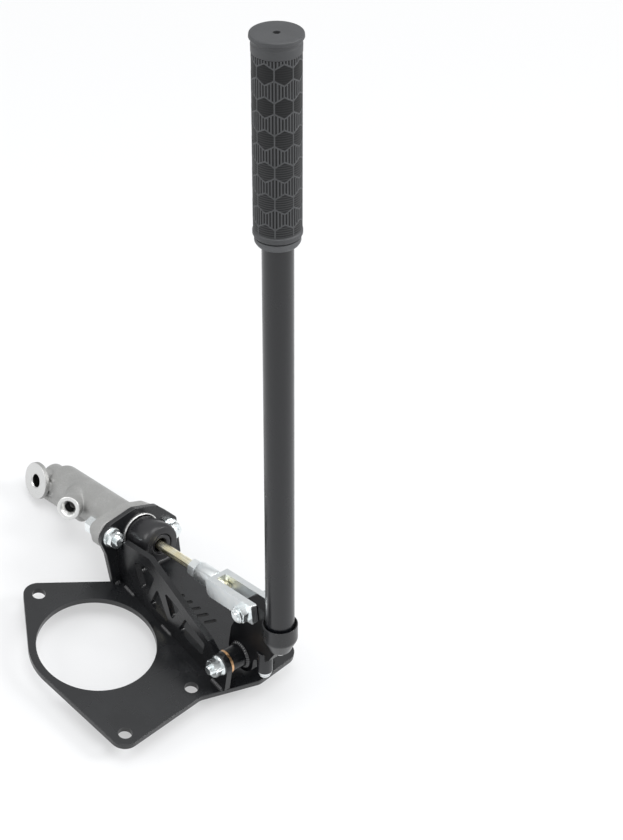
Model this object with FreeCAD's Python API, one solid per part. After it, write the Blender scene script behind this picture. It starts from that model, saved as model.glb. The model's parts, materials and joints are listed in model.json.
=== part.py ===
import FreeCAD, Part
import os
import math

# A hydraulic parking brake lever: bracket, cylinder, pushrod and upright lever, in millimetres.
# Origin: centre of the large opening on the base plate's underside.
# +X points toward the cylinder, +Y away from the lever's side, +Z up.

os.makedirs("parts", exist_ok=True)
V = FreeCAD.Vector

# Small vector and shape helpers


def unit(v):
    return V(v.x / v.Length, v.y / v.Length, v.z / v.Length)


def at(origin, *moves):
    """origin moved by pairs of (direction, distance)"""
    p = V(origin.x, origin.y, origin.z)
    for direction, distance in moves:
        p = p + direction * distance
    return p


def rod(start, axis, radius, length):
    return Part.makeCylinder(radius, length, start, axis)


def tube(start, axis, outer, inner, length):
    inside = rod(at(start, (axis, -1.0)), axis, inner, length + 2.0)
    return rod(start, axis, outer, length).cut(inside)


def cone(start, axis, r1, r2, length):
    return Part.makeCone(r1, r2, length, start, axis)


def join(shapes):
    """one solid from overlapping solids"""
    whole = shapes[0].multiFuse(shapes[1:])
    return whole.removeSplitter()


def closed_wire(corners):
    """2D outline from (u, v, fillet radius) corners, lines and arcs"""
    count = len(corners)
    parts = []
    for i in range(count):
        a = corners[i - 1]
        b = corners[i]
        c = corners[(i + 1) % count]
        pb = V(b[0], b[1], 0)
        da = unit(V(a[0], a[1], 0) - pb)
        dc = unit(V(c[0], c[1], 0) - pb)
        if b[2] <= 0:
            parts.append((pb, None, pb))
            continue
        half = da.getAngle(dc) / 2
        reach = b[2] / math.tan(half)
        middle = unit(da + dc)
        centre = pb + middle * (b[2] / math.sin(half))
        parts.append((pb + da * reach, centre - middle * b[2], pb + dc * reach))
    edges = []
    for i in range(count):
        start, mid, end = parts[i]
        if mid is not None:
            edges.append(Part.Arc(start, mid, end).toShape())
        after = parts[(i + 1) % count][0]
        if (after - end).Length > 1e-6:
            edges.append(Part.makeLine(end, after))
    return Part.Wire(edges)


def prism(corners, origin, u, v, depth):
    """outline in the plane (u, v) at origin, extruded by depth along u x v"""
    face = Part.Face(closed_wire(corners))
    w = u.cross(v)
    m = FreeCAD.Matrix(u.x, v.x, w.x, origin.x,
                       u.y, v.y, w.y, origin.y,
                       u.z, v.z, w.z, origin.z,
                       0, 0, 0, 1)
    solid = face.extrude(V(0, 0, depth))
    return placed(solid, m)


def placed(shape, matrix):
    moved = shape.copy()
    moved.Placement = FreeCAD.Placement(matrix)
    return moved


def revolve(profile, origin, axis, side):
    """closed profile of (along, radius, fillet) corners turned about axis"""
    face = Part.Face(closed_wire(profile))
    w = axis.cross(side)
    m = FreeCAD.Matrix(axis.x, side.x, w.x, origin.x,
                       axis.y, side.y, w.y, origin.y,
                       axis.z, side.z, w.z, origin.z,
                       0, 0, 0, 1)
    solid = face.revolve(V(0, 0, 0), V(1, 0, 0), 360)
    return placed(solid, m)


def hexagon(across_flats, turn=0.0):
    radius = across_flats / math.sqrt(3)
    corners = []
    for i in range(6):
        angle = turn + i * math.pi / 3
        corners.append((radius * math.cos(angle), radius * math.sin(angle), 0))
    return corners


def hex_block(origin, axis, side, across_flats, length, chamfer=0.0, turn=0.0):
    """hexagonal prism along axis with its far corners turned down"""
    other = axis.cross(side)
    block = prism(hexagon(across_flats, turn), origin, side, other, length)
    if chamfer <= 0:
        return block
    corner = across_flats / math.sqrt(3)
    trim_at = at(origin, (axis, length - 2 * chamfer))
    trim = cone(trim_at, axis, corner + chamfer * 1.6, corner - chamfer * 1.1, 2 * chamfer)
    keep = join([rod(origin, axis, corner + chamfer * 1.6, length - 2 * chamfer), trim])
    return block.common(keep)


def eased(shape, radius):
    """sharp edges broken by a small radius"""
    return shape.makeFillet(radius, shape.Edges)


def save(name, shape):
    shape.exportStep("parts/" + name + ".step")


X = V(1, 0, 0)
Y = V(0, 1, 0)
Z = V(0, 0, 1)

# Driving dimensions of the bracket

PLATE_T = 5.0
OPENING_R = 47.5
OPENING_RIM_R = 53.6
CORNER_R = 12.0
BASE_HOLE_R = 5.5
EDGE_R = 0.5
HOLE_A = (68.3, 8.4)
HOLE_B = (-84.5, 33.0)
HOLE_C = (-76.8, -35.8)
HOLE_D = (-85.2, -117.3)
BASE_TOP = PLATE_T
SLOT_COUNT = 5
SLOT_START = (5.0, -84.0)
SLOT_STEP = (-8.9, -1.3)
SLOT_LENGTH = 11.0
SLOT_WIDTH = 3.2
SLOT_LEAN = 20.0

# Plane shared by the lever, the arm, the pushrod and the cylinder
MID_Y = -79.5

# Cylinder line: it slopes down toward +X and stands square on the flange plate
SLOPE = math.radians(17.7)
FOOT_X = 43.7
CENTRE_H = 35.1
AX = V(math.cos(SLOPE), 0, -math.sin(SLOPE))
UP = V(math.sin(SLOPE), 0, math.cos(SLOPE))
C0 = V(FOOT_X + CENTRE_H * UP.x, MID_Y, BASE_TOP + CENTRE_H * UP.z)

# The two flange bolts lie on a line turned about the cylinder's axis
BOLT_TURN = math.radians(17.0)
BOLT_SPACING = 57.15
SIDE = at(V(0, 0, 0), (Y, math.cos(BOLT_TURN)), (UP, math.sin(BOLT_TURN)))
CROSS = AX.cross(SIDE)
M8_R = 4.0
M8_HOLE_R = 4.4
M8_FLATS = 13.0
HEAD_H = 5.3
FLANGE_HEAD_H = 8.0
BOLT_PROUD = 3.2
NUT_H = 8.0
NUT_FLANGE_R = 8.6
NUT_FLANGE_T = 1.6

# The casting's register lip stands through the flange plate
SNOUT_R = 17.3
SNOUT_HOLE_R = 17.4
SNOUT_PROUD = 1.6
SNOUT_IN_R = 15.95

# Base plate

base_corners = [
    (85.1, 13.0, CORNER_R),
    (11.66, 55.09, OPENING_RIM_R),
    (-97.5, 43.8, CORNER_R),
    (-88.4, -36.4, 10.0),
    (-101.4, -85.3, 10.0),
    (-95.5, -130.6, CORNER_R),
    (48.0, -113.4, 8.0),
    (48.0, -48.1, 3.0),
]
base = prism(base_corners, V(0, 0, 0), X, Y, PLATE_T)
base = eased(base, EDGE_R)
base = base.cut(rod(V(0, 0, -1), Z, OPENING_R, PLATE_T + 2))
for hole in (HOLE_A, HOLE_B, HOLE_C, HOLE_D):
    base = base.cut(rod(V(hole[0], hole[1], -1), Z, BASE_HOLE_R, PLATE_T + 2))
slot_u = V(math.sin(math.radians(SLOT_LEAN)), math.cos(math.radians(SLOT_LEAN)), 0)
slot_v = V(-slot_u.y, slot_u.x, 0)
for i in range(SLOT_COUNT):
    centre = V(SLOT_START[0] + i * SLOT_STEP[0], SLOT_START[1] + i * SLOT_STEP[1], -1)
    half = SLOT_LENGTH / 2
    wide = SLOT_WIDTH / 2
    end_r = SLOT_WIDTH * 0.45
    slot = prism([(-half, -wide, end_r), (half, -wide, end_r), (half, wide, end_r), (-half, wide, end_r)],
                 centre, slot_u, slot_v, PLATE_T + 2)
    base = base.cut(slot)
save("base_plate", base)

# Near side truss plate with the pivot ear

TRUSS_OUTER_Y = -54.5
TRUSS_T = 5.0
PIVOT_X = -84.7
PIVOT_Z = 27.4
PIVOT = V(PIVOT_X, MID_Y, PIVOT_Z)
EAR_R = 10.0
PIVOT_BOLT_R = 4.0
EAR_HOLE_R = 4.15
TRUSS_END_Z = 45.6


def flange_front_x(z):
    """x of the leaning plate's front face at height z"""
    return FOOT_X + (z - BASE_TOP) * math.tan(SLOPE)


truss_corners = [
    (PIVOT_X - EAR_R, BASE_TOP, 2.0),
    (FOOT_X, BASE_TOP, 0),
    (flange_front_x(TRUSS_END_Z), TRUSS_END_Z, 0),
    (11.5, 60.6, 3.0),
    (-68.4, 40.0, 4.0),
    (-77.8, 34.7, 0),
    (PIVOT_X, PIVOT_Z, 0),
    (PIVOT_X - EAR_R, PIVOT_Z, 0),
]
truss_cutouts = [
    [(29.4, 40.5, 2.0), (17.0, 48.0, 2.0), (2.5, 46.0, 2.0), (8.3, 22.1, 2.0), (17.5, 22.1, 2.0)],
    [(-2.2, 38.5, 2.0), (4.7, 14.6, 2.0), (-21.4, 14.6, 2.0)],
    [(-10.9, 43.0, 2.0), (-23.4, 21.6, 2.0), (-31.4, 41.0, 2.0)],
    [(-38.9, 37.6, 2.5), (-32.4, 18.6, 2.5), (-64.0, 18.6, 2.5), (-65.2, 33.1, 2.5)],
]
# the plate's outline lies in the plane (X, Z), whose normal X x Z points to -Y
truss_origin = V(0, TRUSS_OUTER_Y, 0)
truss = prism(truss_corners, truss_origin, X, Z, TRUSS_T)
ear = rod(V(PIVOT_X, TRUSS_OUTER_Y, PIVOT_Z), V(0, -1, 0), EAR_R, TRUSS_T)
truss = join([truss, ear])
for cutout in truss_cutouts:
    truss = truss.cut(prism(cutout, at(truss_origin, (Y, 1.0)), X, Z, TRUSS_T + 2))
nut_room = rod(at(C0, (SIDE, BOLT_SPACING / 2)), AX * -1, NUT_FLANGE_R + 0.5, NUT_H + BOLT_PROUD + 1)
snout_room = rod(at(C0, (AX, -SNOUT_PROUD - 0.5)), AX, SNOUT_R + 0.5, SNOUT_PROUD + 1)
truss = truss.cut(nut_room).cut(snout_room)
truss = truss.cut(rod(V(PIVOT_X, TRUSS_OUTER_Y + 1, PIVOT_Z), V(0, -1, 0), EAR_HOLE_R, TRUSS_T + 2))
save("side_truss_plate", truss)

# Far pivot ear, mirrored about the middle plane

FAR_EAR_INNER_Y = 2 * MID_Y - (TRUSS_OUTER_Y - TRUSS_T)
FAR_EAR_FOOT_X = -58.0
far_corners = [
    (PIVOT_X - EAR_R, BASE_TOP, 2.0),
    (FAR_EAR_FOOT_X, BASE_TOP, 2.0),
    (FAR_EAR_FOOT_X, 13.0, 3.0),
    (PIVOT_X + EAR_R, PIVOT_Z, 0),
    (PIVOT_X - EAR_R, PIVOT_Z, 0),
]
far_origin = V(0, FAR_EAR_INNER_Y, 0)
far_ear = prism(far_corners, far_origin, X, Z, TRUSS_T)
far_ear = join([far_ear, rod(V(PIVOT_X, FAR_EAR_INNER_Y, PIVOT_Z), V(0, -1, 0), EAR_R, TRUSS_T)])
far_ear = far_ear.cut(rod(V(PIVOT_X, FAR_EAR_INNER_Y + 1, PIVOT_Z), V(0, -1, 0), EAR_HOLE_R, TRUSS_T + 2))
save("far_pivot_ear", far_ear)

# Leaning flange plate that carries the cylinder

FLANGE_T = 5.0
FLANGE_EAR_R = 10.5
FLANGE_TOP_R = 21.5
# the lean plate is drawn with u along Y and v up the lean, measured from the axis


def turned(along, across):
    """point in the leaning plane from distances along the bolt line and square to it"""
    return (along * math.cos(BOLT_TURN) - across * math.sin(BOLT_TURN),
            along * math.sin(BOLT_TURN) + across * math.cos(BOLT_TURN))


HALF_SPACING = BOLT_SPACING / 2
near_ear = turned(HALF_SPACING, 0)
far_bolt = turned(-HALF_SPACING, 0)
foot_v = -CENTRE_H
lean_corners = [
    (-35.8, foot_v, 0),
    (32.0, foot_v, 0),
    (near_ear[0] + 7.0, near_ear[1] - 14.0, 8.0),
    (near_ear[0] + 11.5, near_ear[1] + 2.0, 9.0),
    (near_ear[0] + 0.0, near_ear[1] + 11.5, 8.0),
    (turned(10.0, 22.2)[0], turned(10.0, 22.2)[1], 8.0),
    (turned(-13.0, 22.2)[0], turned(-13.0, 22.2)[1], 6.0),
    (far_bolt[0] - 8.6, far_bolt[1] + 7.2, 4.0),
    (-35.8, -12.0, 4.0),
]
# plane (Y, UP): Y x UP points along +AX
flange_plate = prism(lean_corners, C0, Y, UP, FLANGE_T)
flange_plate = eased(flange_plate, EDGE_R)
flange_plate = flange_plate.cut(rod(at(C0, (AX, -1)), AX, SNOUT_HOLE_R, FLANGE_T + 2))
for sign in (1, -1):
    bolt_at = at(C0, (SIDE, sign * HALF_SPACING))
    flange_plate = flange_plate.cut(rod(at(bolt_at, (AX, -1)), AX, M8_HOLE_R, FLANGE_T + 2))
ROOM = 400.0
above_base = Part.makeBox(ROOM, ROOM, ROOM, V(-ROOM / 2, -ROOM / 2, BASE_TOP))
flange_plate = flange_plate.common(above_base)
save("cylinder_flange_plate", flange_plate)

# Weld beads of the bracket: three-sided fillets run along the plate feet

BEAD = 2.6


def bead(start, direction, length, side_a, side_b, leg=BEAD):
    """triangular bead with its square corner on the line"""
    tri = [(0, 0, 0), (leg, 0, 0), (0, leg, 0)]
    face = Part.Face(closed_wire(tri))
    m = FreeCAD.Matrix(side_a.x, side_b.x, direction.x, start.x,
                       side_a.y, side_b.y, direction.y, start.y,
                       side_a.z, side_b.z, direction.z, start.z,
                       0, 0, 0, 1)
    solid = face.extrude(V(0, 0, length))
    return placed(solid, m)


def bead_along(start, end, side_a, side_b, leg=BEAD):
    direction = unit(end - start)
    if side_a.cross(side_b).dot(direction) < 0:
        side_a, side_b = side_b, side_a
    return bead(start, direction, (end - start).Length, side_a, side_b, leg)


bracket_beads = [
    bead_along(V(FOOT_X, -66.0, BASE_TOP), V(FOOT_X, -110.0, BASE_TOP), V(-1, 0, 0), Z),
    bead_along(V(FOOT_X, -48.5, BASE_TOP), V(FOOT_X, -54.5, BASE_TOP), V(-1, 0, 0), Z),
    bead_along(V(24.0, TRUSS_OUTER_Y, BASE_TOP), V(38.0, TRUSS_OUTER_Y, BASE_TOP), Y, Z, 2.2),
    bead_along(V(-26.0, TRUSS_OUTER_Y, BASE_TOP), V(-12.0, TRUSS_OUTER_Y, BASE_TOP), Y, Z, 2.2),
    bead_along(V(-93.0, TRUSS_OUTER_Y, BASE_TOP), V(-78.0, TRUSS_OUTER_Y, BASE_TOP), Y, Z, 3.0),
    bead_along(V(-92.0, FAR_EAR_INNER_Y - TRUSS_T, BASE_TOP), V(-62.0, FAR_EAR_INNER_Y - TRUSS_T, BASE_TOP),
               V(0, -1, 0), Z, 3.0),
]
bracket_weld = Part.makeCompound(bracket_beads)
save("bracket_welds", bracket_weld)

# Master cylinder casting, drawn along the cylinder's axis

CAST_START = PLATE_T
CAST_FLANGE_END = 17.0
EAR_BOSS_END = 21.0
EAR_BOSS_R = 7.6
BARREL_R = 16.0
BARREL_END = 117.0
BORE_R = 9.55
BORE_END = 112.0
COUNTERBORE_R = 11.6
COUNTERBORE_END = 8.4
CAST_EAR_R = 10.0
BOSS_TILT = math.radians(34.0)
SIDE_BOSS_S = 82.2
SIDE_BOSS_FACE = 34.3
SIDE_BOSS_R = 9.9
SIDE_PORT_R = 4.2
SIDE_PORT_MOUTH_R = 6.7
REAR_BOSS_S = 124.1
REAR_BOSS_FACE = 20.9
REAR_DISC_R = 15.7
REAR_DISC_T = 4.2
REAR_STEM_R = 9.0
REAR_PORT_R = 5.5
GALLERY_TURN = math.radians(-40.0)
GALLERY_START = 68.0
GALLERY_LENGTH = 61.0
GALLERY_R = 7.3
GALLERY_OFFSET = 12.4
PAD_S = 113.3
PAD_TOP = 15.5


def clock(turn):
    """direction square to the cylinder's axis, turned from +Y toward up"""
    return at(V(0, 0, 0), (Y, math.cos(turn)), (UP, math.sin(turn)))


def on_axis(s):
    return at(C0, (AX, s))


flange_len = CAST_FLANGE_END - CAST_START
cast_flange_corners = [
    (turned(HALF_SPACING + 6.0, -CAST_EAR_R)[0], turned(HALF_SPACING + 6.0, -CAST_EAR_R)[1], 6.0),
    (turned(HALF_SPACING + CAST_EAR_R, 0)[0], turned(HALF_SPACING + CAST_EAR_R, 0)[1], 7.0),
    (turned(HALF_SPACING + 6.0, CAST_EAR_R)[0], turned(HALF_SPACING + 6.0, CAST_EAR_R)[1], 6.0),
    (turned(9.0, 20.6)[0], turned(9.0, 20.6)[1], 10.0),
    (turned(-9.0, 20.6)[0], turned(-9.0, 20.6)[1], 10.0),
    (turned(-HALF_SPACING - 6.0, CAST_EAR_R)[0], turned(-HALF_SPACING - 6.0, CAST_EAR_R)[1], 6.0),
    (turned(-HALF_SPACING - CAST_EAR_R, 0)[0], turned(-HALF_SPACING - CAST_EAR_R, 0)[1], 7.0),
    (turned(-HALF_SPACING - 6.0, -CAST_EAR_R)[0], turned(-HALF_SPACING - 6.0, -CAST_EAR_R)[1], 6.0),
    (turned(-9.0, -20.6)[0], turned(-9.0, -20.6)[1], 10.0),
    (turned(9.0, -20.6)[0], turned(9.0, -20.6)[1], 10.0),
]
cast_flange = prism(cast_flange_corners, on_axis(CAST_START), Y, UP, flange_len)
barrel_profile = [(CAST_START, 0, 0), (BARREL_END, 0, 0), (BARREL_END, BARREL_R, 6.0),
                  (CAST_START, BARREL_R, 0)]
barrel = revolve(barrel_profile, C0, AX, UP)
root_cone = cone(on_axis(CAST_FLANGE_END - 0.5), AX, BARREL_R + 2.6, BARREL_R - 0.1, 7.0)
snout = rod(on_axis(-SNOUT_PROUD), AX, SNOUT_R, CAST_START + SNOUT_PROUD + 0.5)
boss_dir = at(V(0, 0, 0), (SIDE, math.cos(BOSS_TILT)), (AX, -math.sin(BOSS_TILT)))
side_boss = rod(at(on_axis(SIDE_BOSS_S), (boss_dir, 3.0)), boss_dir, SIDE_BOSS_R, SIDE_BOSS_FACE - 3.0)
side_root_at = at(on_axis(SIDE_BOSS_S), (boss_dir, 10.0))
side_root = cone(side_root_at, boss_dir, SIDE_BOSS_R + 3.2, SIDE_BOSS_R - 0.1, 13.0)
rear_base = on_axis(REAR_BOSS_S)
rear_disc = rod(at(rear_base, (SIDE, REAR_BOSS_FACE - REAR_DISC_T)), SIDE, REAR_DISC_R, REAR_DISC_T)
rear_stem = rod(at(rear_base, (SIDE, -4.0)), SIDE, REAR_STEM_R, REAR_BOSS_FACE)
rear_root = rod(on_axis(BARREL_END - 12.0), AX, 11.5, 24.0)
# the pad's outline lies in the plane (AX, CROSS), whose normal points against SIDE
pad_corners = [(-7.0, -8.5, 1.5), (8.0, -8.5, 1.5), (8.0, 6.5, 1.5), (-7.0, 6.5, 1.5)]
rear_pad = prism(pad_corners, at(on_axis(PAD_S), (SIDE, PAD_TOP)), AX, CROSS, 11.0)
gallery_dir = clock(GALLERY_TURN)
gallery_profile = [(0, 0, 0), (GALLERY_LENGTH, 0, 0), (GALLERY_LENGTH, GALLERY_R, 3.0), (0, GALLERY_R, 3.0)]
gallery = revolve(gallery_profile, at(on_axis(GALLERY_START), (gallery_dir, GALLERY_OFFSET)), AX, gallery_dir)
ear_bosses = []
for sign in (1, -1):
    ear_bosses.append(rod(at(on_axis(CAST_START), (SIDE, sign * HALF_SPACING)), AX, EAR_BOSS_R,
                          EAR_BOSS_END - CAST_START))
casting = join([cast_flange, barrel, root_cone, snout, side_boss, side_root, rear_disc, rear_stem, rear_root,
                rear_pad, gallery] + ear_bosses)
hollow = [
    rod(on_axis(-SNOUT_PROUD - 1), AX, SNOUT_IN_R, CAST_START + SNOUT_PROUD + 1),
    rod(on_axis(CAST_START - 0.5), AX, COUNTERBORE_R, COUNTERBORE_END - CAST_START + 0.5),
    rod(on_axis(CAST_START), AX, BORE_R, BORE_END - CAST_START),
]
side_face = at(on_axis(SIDE_BOSS_S), (boss_dir, SIDE_BOSS_FACE))
into_side = boss_dir * -1
hollow.append(cone(side_face, into_side, SIDE_PORT_MOUTH_R, SIDE_PORT_R, 4.0))
hollow.append(rod(side_face, into_side, SIDE_PORT_R, 13.0))
rear_face = at(rear_base, (SIDE, REAR_BOSS_FACE))
into_rear = SIDE * -1
hollow.append(rod(rear_face, into_rear, REAR_PORT_R, 14.0))
hollow.append(cone(rear_face, into_rear, REAR_PORT_R + 0.9, REAR_PORT_R, 0.9))
for sign in (1, -1):
    bolt_at = at(on_axis(CAST_START - 1), (SIDE, sign * HALF_SPACING))
    hollow.append(rod(bolt_at, AX, M8_HOLE_R, EAR_BOSS_END - CAST_START + 2))
for cutter in hollow:
    casting = casting.cut(cutter)
save("cylinder_casting", casting)

# Pieces inside the bore

PISTON_R = 9.48
SEAL_R = 9.5
CUP_R = 5.5
PISTON_START = 8.5
PISTON_LENGTH = 40.0
NOSE_S = 14.0
ROD_R = 3.97
CUP_BOTTOM = NOSE_S + ROD_R + 0.7
piston_profile = [
    (PISTON_START, CUP_R, 0), (CUP_BOTTOM, CUP_R, 0), (CUP_BOTTOM + 3.0, 0, 0),
    (PISTON_START + PISTON_LENGTH, 0, 0), (PISTON_START + PISTON_LENGTH, 5.0, 0),
    (PISTON_START + PISTON_LENGTH - 2.0, 5.0, 0), (PISTON_START + PISTON_LENGTH - 2.0, PISTON_R, 0),
    (PISTON_START + 34.0, PISTON_R, 0), (PISTON_START + 34.0, 6.5, 0), (PISTON_START + 29.0, 6.5, 0),
    (PISTON_START + 29.0, PISTON_R, 0), (PISTON_START + 26.0, PISTON_R, 0), (PISTON_START + 26.0, 7.5, 0),
    (PISTON_START + 19.0, 7.5, 0), (PISTON_START + 19.0, PISTON_R, 0), (PISTON_START + 17.0, PISTON_R, 0),
    (PISTON_START + 17.0, 7.0, 0), (PISTON_START + 13.0, 7.0, 0), (PISTON_START + 13.0, PISTON_R, 0),
    (PISTON_START, PISTON_R, 0),
]
piston = revolve(piston_profile, C0, AX, UP)
save("piston", piston)
primary = revolve([(PISTON_START + 29.2, 6.55, 0), (PISTON_START + 33.8, 6.55, 0),
                   (PISTON_START + 33.8, 8.0, 0), (PISTON_START + 31.5, 8.2, 0),
                   (PISTON_START + 33.8, SEAL_R, 0),
                   (PISTON_START + 29.2, SEAL_R - 0.3, 0)], C0, AX, UP)
save("primary_seal", primary)
secondary = tube(on_axis(PISTON_START + 13.1), AX, SEAL_R, 7.05, 3.8)
save("secondary_seal", secondary)

SPRING_WIRE_R = 0.8
SPRING_R = 7.6
SPRING_START = PISTON_START + PISTON_LENGTH - 2.0 + SPRING_WIRE_R + 0.05
SPRING_END = BORE_END - SPRING_WIRE_R - 0.05
SPRING_PITCH = 7.5
helix = Part.makeHelix(SPRING_PITCH, SPRING_END - SPRING_START, SPRING_R)
ring = Part.Wire([Part.makeCircle(SPRING_WIRE_R, V(SPRING_R, 0, 0), V(0, 1, 0))])
coil = Part.Wire(helix).makePipeShell([ring], True, True)
side_dir = AX.cross(UP)
spring_m = FreeCAD.Matrix(UP.x, side_dir.x, AX.x, on_axis(SPRING_START).x,
                          UP.y, side_dir.y, AX.y, on_axis(SPRING_START).y,
                          UP.z, side_dir.z, AX.z, on_axis(SPRING_START).z,
                          0, 0, 0, 1)
spring = placed(coil, spring_m)
save("return_spring", spring)

RETAINER_HOLE_R = 6.3
retainer = tube(on_axis(CAST_START + 1.9), AX, COUNTERBORE_R - 0.05, RETAINER_HOLE_R, 1.4)
save("retaining_washer", retainer)
circlip = tube(on_axis(CAST_START + 0.5), AX, COUNTERBORE_R, 9.6, 1.2)
clip_cut = prism([(-3, 5, 0), (3, 5, 0), (3, 14, 0), (-3, 14, 0)], on_axis(CAST_START - 1), Y, UP, 5)
circlip = circlip.cut(clip_cut)
save("circlip", circlip)

# Dust boot, a rubber cup plugged into the snout

BOOT_R = 15.6
BOOT_LENGTH = 26.0
BOOT_HOLE_R = 7.2
BOOT_WALL = 2.2
boot_profile = [
    (3.0, BOOT_R, 0), (-19.0, BOOT_R - 0.2, 3.5), (-22.7, BOOT_R - 2.6, 0.8), (-23.7, BOOT_R - 3.4, 0.3),
    (-BOOT_LENGTH, BOOT_R - 3.7, 1.0), (-BOOT_LENGTH, 10.6, 0.3), (-BOOT_LENGTH + 1.3, 10.2, 0.3),
    (-BOOT_LENGTH + 1.3, 9.2, 0.3), (-BOOT_LENGTH + 0.2, 8.8, 0.3), (-BOOT_LENGTH + 0.2, BOOT_HOLE_R, 0.5),
    (-BOOT_LENGTH + 3.0, BOOT_HOLE_R, 0.5), (-BOOT_LENGTH + 3.6, 11.5, 0),
    (-18.5, BOOT_R - BOOT_WALL - 0.4, 0),
    (3.0, BOOT_R - BOOT_WALL, 0),
]
boot = revolve(boot_profile, C0, AX, UP)
save("dust_boot", boot)

# Flange bolts, heads on the casting, nuts on the plate's front


def flange_nut(seat, axis, side, turn):
    """hexagon nut with a washer face, bored for its bolt"""
    collar = cone(seat, axis, NUT_FLANGE_R, NUT_FLANGE_R - 1.2, NUT_FLANGE_T)
    rim = rod(seat, axis, NUT_FLANGE_R, 0.6)
    body = hex_block(seat, axis, side, M8_FLATS, NUT_H, 0.8, turn)
    whole = join([rim, collar, body])
    return whole.cut(rod(at(seat, (axis, -1)), axis, M8_R, NUT_H + 2))


def stud_end(seat, axis, radius, length):
    """plain shank with a chamfered tip"""
    shank = rod(seat, axis, radius, length - 0.8)
    tip = cone(at(seat, (axis, length - 0.8)), axis, radius, radius - 0.8, 0.8)
    return join([shank, tip])


OUT = AX * -1
bolts = []
nuts = []
for sign in (1, -1):
    head_at = at(on_axis(EAR_BOSS_END), (SIDE, sign * HALF_SPACING))
    head = hex_block(head_at, AX, SIDE, M8_FLATS, FLANGE_HEAD_H, 0.7, 0.3)
    washer_face = rod(head_at, AX, 6.2, 0.5)
    reach = EAR_BOSS_END + NUT_H + BOLT_PROUD
    shank = stud_end(at(head_at, (AX, 0.2)), OUT, M8_R, reach + 0.2)
    bolts.append(join([head, washer_face, shank]))
    nut_at = at(C0, (SIDE, sign * HALF_SPACING))
    nuts.append(flange_nut(nut_at, OUT, SIDE, 0.25 + 0.2 * sign))
save("flange_bolts", Part.makeCompound(bolts))

# Pivot bolt through both ears, with the same flange nut on the near side

pivot_near = V(PIVOT_X, TRUSS_OUTER_Y, PIVOT_Z)
pivot_far = V(PIVOT_X, FAR_EAR_INNER_Y - TRUSS_T, PIVOT_Z)
pivot_head = hex_block(pivot_far, V(0, -1, 0), X, M8_FLATS, HEAD_H, 0.7)
pivot_head_rim = rod(pivot_far, V(0, -1, 0), NUT_FLANGE_R, 1.2)
pivot_span = (pivot_near - pivot_far).Length
pivot_shank = stud_end(at(pivot_far, (Y, -0.2)), Y, PIVOT_BOLT_R, pivot_span + NUT_H + BOLT_PROUD + 0.2)
save("pivot_bolt", join([pivot_head, pivot_head_rim, pivot_shank]))
nuts.append(flange_nut(pivot_near, Y, X, 0.35))
save("flange_nuts", Part.makeCompound(nuts))

# Lever line: the upright tube leans toward +X

LEAN = math.radians(10.97)
SIDE_LEAN = math.radians(0.32)
LEVER_FOOT_X = -134.8
LV = unit(V(math.sin(LEAN), -math.sin(SIDE_LEAN), math.cos(LEAN)))
LEVER_SIDE = unit(LV.cross(X))
LEVER0 = V(LEVER_FOOT_X, MID_Y, 0)


def on_lever(distance):
    return at(LEVER0, (LV, distance))


SLEEVE_R = 13.5
TUBE_R = 11.0
TUBE_IN_R = 9.0
SLEEVE_FOOT = 68.2
SLEEVE_FOOT_R = 8.0
SLEEVE_TAPER = 80.0
SLEEVE_RIM = 93.5
SLEEVE_FLOOR = 75.0
SLEEVE_MOUTH = 88.0
SLEEVE_MOUTH_R = 12.4
TUBE_TOP = 566.0

sleeve = revolve([(SLEEVE_FOOT, 0, 0), (SLEEVE_FOOT, SLEEVE_FOOT_R, 1.5), (SLEEVE_TAPER, SLEEVE_R, 5.0),
                  (SLEEVE_RIM, SLEEVE_R, 0.4), (SLEEVE_RIM, SLEEVE_MOUTH_R, 0.4),
                  (SLEEVE_MOUTH, SLEEVE_MOUTH_R, 0),
                  (SLEEVE_MOUTH, TUBE_R, 0), (SLEEVE_FLOOR, TUBE_R, 0), (SLEEVE_FLOOR, 0, 0)],
                 LEVER0, LV, LEVER_SIDE)
save("lever_sleeve", sleeve)
lever_tube = tube(on_lever(SLEEVE_FLOOR), LV, TUBE_R, TUBE_IN_R, TUBE_TOP - SLEEVE_FLOOR)
save("lever_tube", lever_tube)

# Lever arm plate between the pivot tube, the clevis and the sleeve

ARM_T = 8.0
PIN_BACK = 150.0
PIN = on_axis(-PIN_BACK)
PIN_R = 4.0
RUN_GAP = 0.05
PIVOT_TUBE_R = 9.5
PIVOT_TUBE_IN_R = 7.0
ARM_HUB_R = 15.0
ARM_REACH = 40.0
arm_corners = [
    (PIVOT_X + ARM_HUB_R, PIVOT_Z, 0),
    (PIVOT_X + ARM_HUB_R, 45.0, 6.0),
    (-83.0, 91.5, 4.0),
    (-106.0, 93.5, 0),
    (-119.0, 74.0, 0),
    (-121.0, 62.0, 3.0),
    (-116.3, 50.0, 4.0),
    (-110.0, 42.0, 6.0),
    (PIVOT_X - ARM_HUB_R, 36.0, 6.0),
    (PIVOT_X - ARM_HUB_R, PIVOT_Z, 0),
]
arm_origin = V(0, MID_Y + ARM_T / 2, 0)
arm = prism(arm_corners, arm_origin, X, Z, ARM_T)
arm = join([arm, rod(V(PIVOT_X, MID_Y + ARM_T / 2, PIVOT_Z), V(0, -1, 0), ARM_HUB_R, ARM_T)])
arm = arm.cut(rod(V(PIVOT_X, MID_Y + ARM_T, PIVOT_Z), V(0, -1, 0), PIVOT_TUBE_R, 2 * ARM_T))
arm = arm.cut(rod(V(PIN.x, MID_Y + ARM_T, PIN.z), V(0, -1, 0), PIN_R + RUN_GAP, 2 * ARM_T))
arm = arm.cut(rod(on_lever(SLEEVE_TAPER), LV, SLEEVE_R, ARM_REACH))
arm = arm.cut(cone(on_lever(SLEEVE_FOOT), LV, SLEEVE_FOOT_R, SLEEVE_R, SLEEVE_TAPER - SLEEVE_FOOT))
save("lever_arm", arm)

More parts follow.
